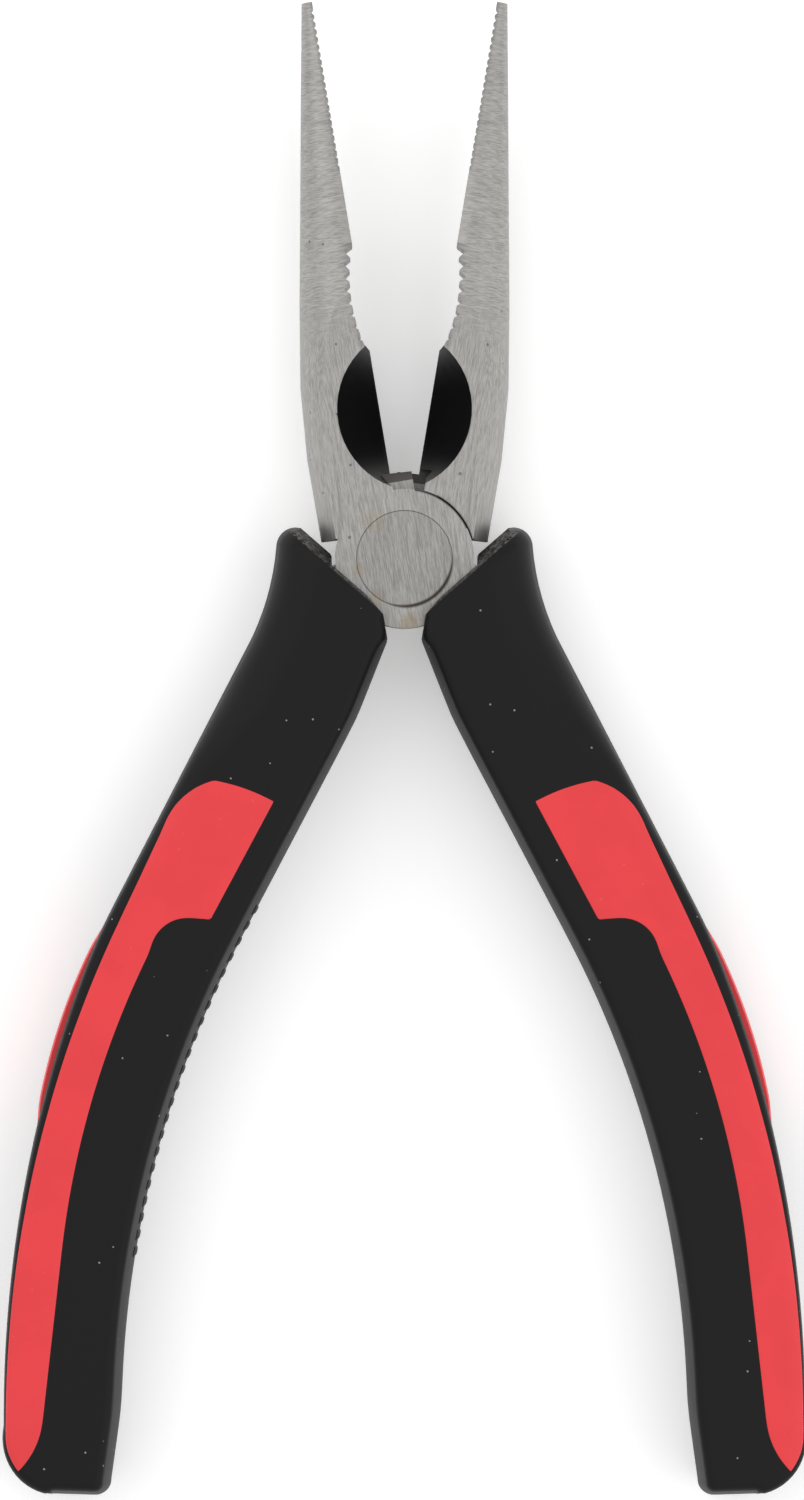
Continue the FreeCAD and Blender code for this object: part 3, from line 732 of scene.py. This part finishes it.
# ---------------------------------------------------------------- materials


def new_material(name):
    material = bpy.data.materials.new(name)
    material.use_nodes = True
    nodes = Nodes(material.node_tree)
    shader = material.node_tree.nodes["Principled BSDF"]
    return material, nodes, shader


def opaque(colour):
    return (*colour, 1.0)


YELLOW_STAIN = (0.30, 0.21, 0.09)
BROWN_STAIN = (0.04, 0.026, 0.017)
RING_DARK = (0.12, 0.11, 0.10)
PIT_DARK = (0.08, 0.07, 0.06)
GAP_DARK = (0.012, 0.011, 0.011)
RECESS_BLACK = (0.011, 0.0105, 0.0115)
DUST = (0.42, 0.40, 0.40)
GRAINY_GREY = (0.17, 0.165, 0.155)

# Centre across, centre along, radius and strength of each stain beside the rivet.
STAINS = (
    (-2.6, 4.3, 1.8, 0.22),
    (-4.9, -0.4, 1.0, 0.25),
    (-3.6, -3.6, 1.2, 0.25),
    (-0.6, -6.7, 1.4, 0.4),
)
# First and last place along, depth and strength of the painted shade in the tooth notches of each
# run of teeth.
TOOTH_NOTCH_SHADES = ((22.4, 33.2, 1.2, 0.4), (40.8, 58.6, 0.42, 0.5))


def steel_material(name, side, rivet=False):
    """Ground steel with the marks, the black cutter recess and the stains of one lever."""
    cross_start, cross_full = 22.0, 28.0
    rivet_shade, recess_shade, notch_shade = 0.9, 0.3, 0.25
    dark_streak, bright_streak = 0.68, 1.2
    tone_low, tone_high = 0.32, 0.68
    ring_strength, brown_strength, pit_strength, gap_strength = 0.75, 0.95, 0.6, 0.95
    roughness_range, roughness_least = 0.2, 0.42
    bump_strength, bump_depth, ring_depth = 0.35, 0.02 * MM, 1.5

    material, nodes, shader = new_material(name)
    place = nodes.group(shared_group("Lever place", lever_place), {"Side": float(side)})
    across, along, height = place["Across"], place["Along"], place["Height"]
    in_plan = {"Across": across, "Along": along}
    in_space = {**in_plan, "Height": height}
    cross = 0.0 if rivet else nodes.ramp(along, cross_start, cross_full)
    marks = nodes.group(
        shared_group("Grinding marks", grinding_marks), {**in_space, "Cross": cross}
    )
    steel = np.array(settings().steel[:]) * (rivet_shade if rivet else 1.0)
    streaked = nodes.ramp(marks["Tone"], tone_low, tone_high)
    bright = np.minimum(steel * bright_streak, 1)
    colour = nodes.mix(streaked, opaque(steel * dark_streak), opaque(bright))

    ring = nodes.group(
        shared_group("Rivet ring", rivet_ring), {**in_plan, "Side": float(side)}
    )
    for centre_across, centre_along, radius, strength in STAINS:
        centre = {"Centre across": centre_across, "Centre along": centre_along}
        blot = nodes.group(shared_group("Stain", stain), {**in_plan, **centre, "Radius": radius})
        colour = nodes.mix(blot["Mask"], colour, opaque(YELLOW_STAIN), strength)
    colour = nodes.mix(ring["Line"], colour, opaque(RING_DARK), ring_strength)
    colour = nodes.mix(ring["Brown"], colour, opaque(BROWN_STAIN), brown_strength)
    pits = nodes.group(
        shared_group("Specks", specks), {"Scale": 700.0, "Size": 0.12, "Share": 0.12}
    )
    colour = nodes.mix(pits["Mask"], colour, opaque(PIT_DARK), pit_strength)

    if not rivet:
        gap = nodes.group(
            shared_group("Joint gap", joint_gap), {**in_space, "Side": float(side)}
        )
        colour = nodes.mix(gap["Line"], colour, opaque(GAP_DARK), gap_strength)
        # Painted shade in the tooth notches along each run of teeth.
        for first, last, reach_in, strength in TOOTH_NOTCH_SHADES:
            run = {"First": first, "Last": last, "Depth": reach_in}
            teeth = nodes.group(shared_group("Painted tooth shade", painted_tooth_shade), {**in_plan, **run})
            colour = nodes.mix(teeth["Mask"], colour, opaque(steel * notch_shade), strength)
        colour = darken_recess(nodes, place, colour, steel * recess_shade)

    nodes.feed(shader.inputs["Base Color"], colour)
    shader.inputs["Metallic"].default_value = 1.0
    roughness = nodes.math("MULTIPLY_ADD", marks["Tone"], roughness_range, roughness_least)
    nodes.feed(shader.inputs["Roughness"], roughness)
    sunk_ring = nodes.math("MULTIPLY", ring["Line"], ring_depth)
    relief = nodes.math("SUBTRACT", marks["Relief"], sunk_ring)
    bump = {"Strength": bump_strength, "Distance": bump_depth, "Height": relief}
    nodes.feed(shader.inputs["Normal"], nodes.add("ShaderNodeBump", bump).outputs[0])
    return material


def darken_recess(nodes, place, colour, shadow):
    """Blackens the sunk round face of the cutters, from a shadow at its lower edge upwards."""
    flush, sunk_full = 0.015, 0.06
    web_top, fade_start, fade_full = 8.0, 7.0, 11.5
    across, along = place["Across"], place["Along"]
    depth = nodes.math("SUBTRACT", JOINT_HALF, nodes.math("ABSOLUTE", place["Height"]))
    sunk = nodes.ramp(depth, flush, sunk_full)
    reach = nodes.length(
        nodes.math("SUBTRACT", across, CUTTER_CENTRE[0]),
        nodes.math("SUBTRACT", along, CUTTER_CENTRE[1]),
    )
    in_circle = nodes.math("LESS_THAN", reach, CUTTER_RADIUS)
    above_web = nodes.math("GREATER_THAN", along, web_top)
    recess = nodes.math("MULTIPLY", nodes.math("MULTIPLY", sunk, in_circle), above_web)
    fade = nodes.ramp(along, fade_start, fade_full)
    dark = nodes.mix(fade, opaque(shadow), opaque(RECESS_BLACK))
    return nodes.mix(recess, colour, dark)


def grip_material(name, side, colour, rough, dust, grain):
    """A moulded skin with fine grain, a little dust and a lighter grainy end face beside the joint.
    """
    darker, lighter, cloud_low, cloud_high, cloud_roughness = 0.96, 1.04, 0.3, 0.7, 0.1
    grit_low, grit_high, grey_start, grey_full, grey_strength = 0.4, 0.62, 0.02, 0.2, 0.85
    grain_depth = 0.03 * MM

    material, nodes, shader = new_material(name)
    place = nodes.add("ShaderNodeTexCoord").outputs["Object"]
    lever = nodes.group(shared_group("Lever place", lever_place), {"Side": float(side)})
    colour = np.array(colour[:])
    cloud = nodes.noise(place, scale=120.0, detail=4.0)
    clouded = nodes.ramp(cloud, cloud_low, cloud_high)
    light = np.minimum(colour * lighter, 1)
    base = nodes.mix(clouded, opaque(colour * darker), opaque(light))
    dots = nodes.group(
        shared_group("Specks", specks), {"Scale": 480.0, "Size": 0.05, "Share": 0.9}
    )
    base = nodes.mix(dots["Mask"], base, opaque(DUST), dust)

    # The end face beyond the chord gets a lighter grainy grey.
    out_across, out_along = (float(part) for part in CHORD_OUT)
    offset = -float(CHORD_FOOT @ CHORD_OUT)
    sideways = nodes.math("MULTIPLY_ADD", lever["Across"], out_across, offset)
    beyond = nodes.math("MULTIPLY_ADD", lever["Along"], out_along, sideways)
    coarse = nodes.noise(place, scale=2600.0, detail=3.0, roughness=0.7)
    grit = nodes.ramp(coarse, grit_low, grit_high)
    grey_end_face = nodes.math("MULTIPLY", nodes.ramp(beyond, grey_start, grey_full), grit)
    base = nodes.mix(grey_end_face, base, opaque(GRAINY_GREY), grey_strength)

    nodes.feed(shader.inputs["Base Color"], base)
    roughness = nodes.math("MULTIPLY_ADD", cloud, cloud_roughness, rough)
    nodes.feed(shader.inputs["Roughness"], roughness)
    shader.inputs["Specular IOR Level"].default_value = 0.2
    fine = nodes.noise(place, scale=4200.0, detail=2.0, roughness=0.6)
    bump = {"Strength": grain, "Distance": grain_depth, "Height": fine}
    nodes.feed(shader.inputs["Normal"], nodes.add("ShaderNodeBump", bump).outputs[0])
    return material


def skin(kind, hand):
    """The black or the red skin of one grip, built on first use."""
    name = f"{hand}_{kind}_skin"
    if name in bpy.data.materials:
        return bpy.data.materials[name]
    choice = settings()
    side, _ = LEVERS[hand]
    if kind == "black":
        return grip_material(name, side, choice.black, rough=0.5, dust=0.6, grain=0.25)
    return grip_material(name, side, choice.red, rough=0.36, dust=0.12, grain=0.12)


def dress(node, material):
    """Gives a CAD node its material."""
    part = frame["nodes"][node]
    if not part.material_slots:
        part.data.materials.append(material)
    for slot in part.material_slots:
        slot.material = material


# ---------------------------------------------------------------- operators


class PLIERS_OT_finish_steel(bpy.types.Operator):
    """Give both forgings and the rivet their ground steel"""

    bl_idname = "pliers.finish_steel"
    bl_label = "Finish the steel"

    def execute(self, context):
        dress("front_lever_forging", steel_material("front_lever_steel", 1))
        dress("rear_lever_forging", steel_material("rear_lever_steel", -1))
        dress("pivot_rivet", steel_material("rivet_steel_ground", 1, rivet=True))
        return {"FINISHED"}


class PLIERS_OT_build_sleeves(bpy.types.Operator):
    """Build the black moulded grips"""

    bl_idname = "pliers.build_sleeves"
    bl_label = "Build the black grips"

    steps = (0.1, 0.25, 0.45, 0.7, 1.0, 1.35, 1.62, 2.1, 2.8)
    pitch = 0.8

    def execute(self, context):
        for hand in LEVERS:
            grip = Grip(hand)
            outline = grip.face_outline
            points, faces, used = fill(outline, self.steps, self.pitch, chord_lines())
            height = grip.height(points)
            solid, skins = shell(outline, grip.outline, points, faces, used, height)
            piece = make_piece(f"{hand}_grip_moulding", solid, skins, hand, "black")
            hollow_out(piece, ROOM_RADIUS, ROOM_DEPTH)
            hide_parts(grip.node)
        return {"FINISHED"}


class PLIERS_OT_build_face_inlays(bpy.types.Operator):
    """Build the red inlays of the grips' faces"""

    bl_idname = "pliers.build_face_inlays"
    bl_label = "Build the face inlays"

    steps = (0.08, 0.18, 0.32, 0.8)
    pitch = 0.8
    thickness = 0.6
    edge_drop = 0.2
    edge_width = 0.3

    def execute(self, context):
        for hand in LEVERS:
            grip = Grip(hand)
            for face, up in (("front", 1), ("rear", -1)):
                node = f"{hand}_grip_{face}_inlay"
                outline = cap_outline(node, grip.side)
                points, faces, used = fill(outline, self.steps, self.pitch)
                edge = distance_to(points, outline, np.roll(outline, -1, 0))
                fallen = np.clip(1 - edge / self.edge_width, 0, 1) ** 2 * self.edge_drop
                relief = settings().inlay_relief / MM
                height = grip.height(points) + relief - fallen
                solid = np.vstack(
                    [
                        np.column_stack([points, height * up]),
                        np.column_stack([points, (height - self.thickness) * up]),
                    ]
                )
                count = len(points)
                skins = faces + [[i + count for i in f[::-1]] for f in faces]
                for a, b in zip(used, used[1:] + used[:1]):
                    skins.append([a, a + count, b + count, b])
                piece = make_piece(f"{hand}_grip_{face}_panel", solid, skins, hand, "red")
                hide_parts(node)
        return {"FINISHED"}


def curved_slab(rows, columns, outer, inner):
    """A closed slab between two curved sheets given on the same grid."""
    count = rows * columns
    skins = []
    for r in range(rows - 1):
        for c in range(columns - 1):
            a = r * columns + c
            quad = [a, a + 1, a + columns + 1, a + columns]
            skins += [quad, [i + count for i in quad[::-1]]]
    rim = list(range(columns))
    rim += [r * columns + columns - 1 for r in range(1, rows)]
    rim += [(rows - 1) * columns + c for c in range(columns - 2, -1, -1)]
    rim += [r * columns for r in range(rows - 2, 0, -1)]
    for a, b in zip(rim, rim[1:] + rim[:1]):
        skins.append([a, b, b + count, a + count])
    return np.vstack([outer, inner]), skins


class PLIERS_OT_build_edge_inlays(bpy.types.Operator):
    """Build the red strips in the grips' outer edges"""

    bl_idname = "pliers.build_edge_inlays"
    bl_label = "Build the edge strips"

    rows, columns = 90, 21
    passes = 20
    end_trim = 0.05
    thickness = 0.75
    edge_drop, edge_power = 0.22, 4
    end_run, end_drop = 5.0, 0.3
    end_power, end_least = 6, 0.02

    def execute(self, context):
        rows, columns = self.rows, self.columns
        for hand in LEVERS:
            side, _ = LEVERS[hand]
            node = f"{hand}_grip_edge_inlay"
            points = node_points(node, side)
            top, bottom = points[:, 1].max() - self.end_trim, points[:, 1].min() + self.end_trim
            half = points[:, 2].max()
            row = np.linspace(top, bottom, rows)
            _, outer_edge = side_edges(node, side, row)
            outer_edge = smoothed(outer_edge, self.passes)
            from_end = np.minimum(top - row, row - bottom)
            outer_edge -= self.end_drop * (1 - ease(from_end, 0, self.end_run))
            level = np.linspace(-1, 1, columns)
            crown = self.edge_drop * np.abs(level) ** self.edge_power
            end = np.abs(np.linspace(-1, 1, rows))
            narrowing = np.sqrt(np.clip(1 - end**self.end_power, self.end_least, 1))
            outer, inner = [], []
            for index in range(rows):
                for column in range(columns):
                    z = level[column] * half * narrowing[index]
                    outer.append((outer_edge[index] - crown[column], row[index], z))
                    inner.append((outer_edge[index] - self.thickness, row[index], z))
            solid, skins = curved_slab(rows, columns, np.array(outer), np.array(inner))
            piece = make_piece(f"{hand}_grip_edge_strip", solid, skins, hand, "red")
            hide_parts(node)
        return {"FINISHED"}


class PLIERS_OT_build_ribs(bpy.types.Operator):
    """Build the raised ribs on the inner side of the left grip"""

    bl_idname = "pliers.build_ribs"
    bl_label = "Build the ribs"

    hand = "left"
    size = 11
    first, last = -38.5, -75.5
    half_length, half_height = 0.55, 2.6
    proud, sunk_rim, sunk_base = 0.13, 0.12, 0.5
    length_power, height_power = 4, 6

    def execute(self, context):
        size = self.size
        grip = Grip(self.hand)
        solids, skins = [], []
        for middle in np.linspace(self.first, self.last, settings().rib_count):
            outer, inner = [], []
            for u in np.linspace(-1, 1, size):
                row = middle + u * self.half_length
                edge = np.interp(-row, -grip.row, grip.left)
                for v in np.linspace(-1, 1, size):
                    dome = (1 - abs(u) ** self.length_power) * (1 - abs(v) ** self.height_power)
                    rise = (self.proud + self.sunk_rim) * dome
                    height = v * self.half_height
                    outer.append((edge + self.sunk_rim - rise, row, height))
                    inner.append((edge + self.sunk_base, row, height))
            solid, faces = curved_slab(size, size, np.array(outer), np.array(inner))
            start = sum(len(s) for s in solids)
            solids.append(solid)
            skins += [[i + start for i in face] for face in faces]
        make_piece("left_grip_ribs", np.vstack(solids), skins, self.hand, "black")
        return {"FINISHED"}


class PLIERS_OT_build_stage(bpy.types.Operator):
    """Lay the pale floor and set the lights and the camera"""

    bl_idname = "pliers.build_stage"
    bl_label = "Set the stage"

    view_height = 0.156
    view_centre = (-0.00026, -0.0002)
    distance = 1.0
    sensor = 36.0
    clip = (0.01, 10)
    floor_reach = 3.0
    floor_gap = 0.05 * MM
    floor_colour, floor_glow = (0.9, 0.9, 0.9), 0.3
    white = (1, 1, 1, 1)
    sky = 0.75
    lamp_size = 0.7
    lamps = (("key", (-0.35, 0.3, 0.5), 1.1), ("fill", (0.4, -0.1, 0.45), 1.0))

    def execute(self, context):
        scene = context.scene
        mesh = bpy.data.meshes.new("floor")
        reach, level = self.floor_reach, -self.floor_gap
        corners = [(x * reach, y * reach, level) for x, y in ((-1, -1), (1, -1), (1, 1), (-1, 1))]
        mesh.from_pydata(corners, [], [(0, 1, 2, 3)])
        floor = add_object("floor", mesh)
        material, _, shader = new_material("pale_floor")
        shader.inputs["Base Color"].default_value = opaque(self.floor_colour)
        shader.inputs["Roughness"].default_value = 0.9
        shader.inputs["Emission Color"].default_value = self.white
        shader.inputs["Emission Strength"].default_value = self.floor_glow
        mesh.materials.append(material)

        world = bpy.data.worlds.new("soft_light")
        world.use_nodes = True
        background = world.node_tree.nodes["Background"]
        background.inputs["Color"].default_value = self.white
        background.inputs["Strength"].default_value = self.sky
        scene.world = world
        scene.view_settings.view_transform = "Standard"

        for label, place, power in self.lamps:
            data = bpy.data.lights.new(label, "AREA")
            data.size = self.lamp_size
            data.energy = power
            lamp = add_object(label, data)
            lamp.location = place
            lamp.rotation_mode = "QUATERNION"
            lamp.rotation_quaternion = (-Vector(place)).to_track_quat("-Z", "Y")

        data = bpy.data.cameras.new("camera")
        data.sensor_width = self.sensor
        data.lens = self.sensor * self.distance / self.view_height
        data.clip_start, data.clip_end = self.clip
        camera = add_object("camera", data)
        camera.location = (*self.view_centre, PIVOT.z + self.distance)
        scene.camera = camera
        return {"FINISHED"}


class PLIERS_PT_panel(bpy.types.Panel):
    """The steps that build the pliers' finish"""

    bl_label = "Pliers"
    bl_idname = "PLIERS_PT_panel"
    bl_space_type = "VIEW_3D"
    bl_region_type = "UI"
    bl_category = "Pliers"

    def draw(self, context):
        for name in PliersSettings.__annotations__:
            self.layout.prop(context.scene.pliers_settings, name)
        for step in STEPS:
            self.layout.operator(step.bl_idname)


STEPS = (
    PLIERS_OT_finish_steel,
    PLIERS_OT_build_sleeves,
    PLIERS_OT_build_face_inlays,
    PLIERS_OT_build_edge_inlays,
    PLIERS_OT_build_ribs,
    PLIERS_OT_build_stage,
)
CLASSES = (PliersSettings, *STEPS, PLIERS_PT_panel)


def register():
    for item in CLASSES:
        bpy.utils.register_class(item)
    bpy.types.Scene.pliers_settings = PointerProperty(type=PliersSettings)


def unregister():
    del bpy.types.Scene.pliers_settings
    for item in reversed(CLASSES):
        bpy.utils.unregister_class(item)


def main():
    register()
    bpy.ops.pliers.finish_steel()
    bpy.ops.pliers.build_sleeves()
    bpy.ops.pliers.build_face_inlays()
    bpy.ops.pliers.build_edge_inlays()
    bpy.ops.pliers.build_ribs()
    bpy.ops.pliers.build_stage()


if __name__ == "__main__":
    main()
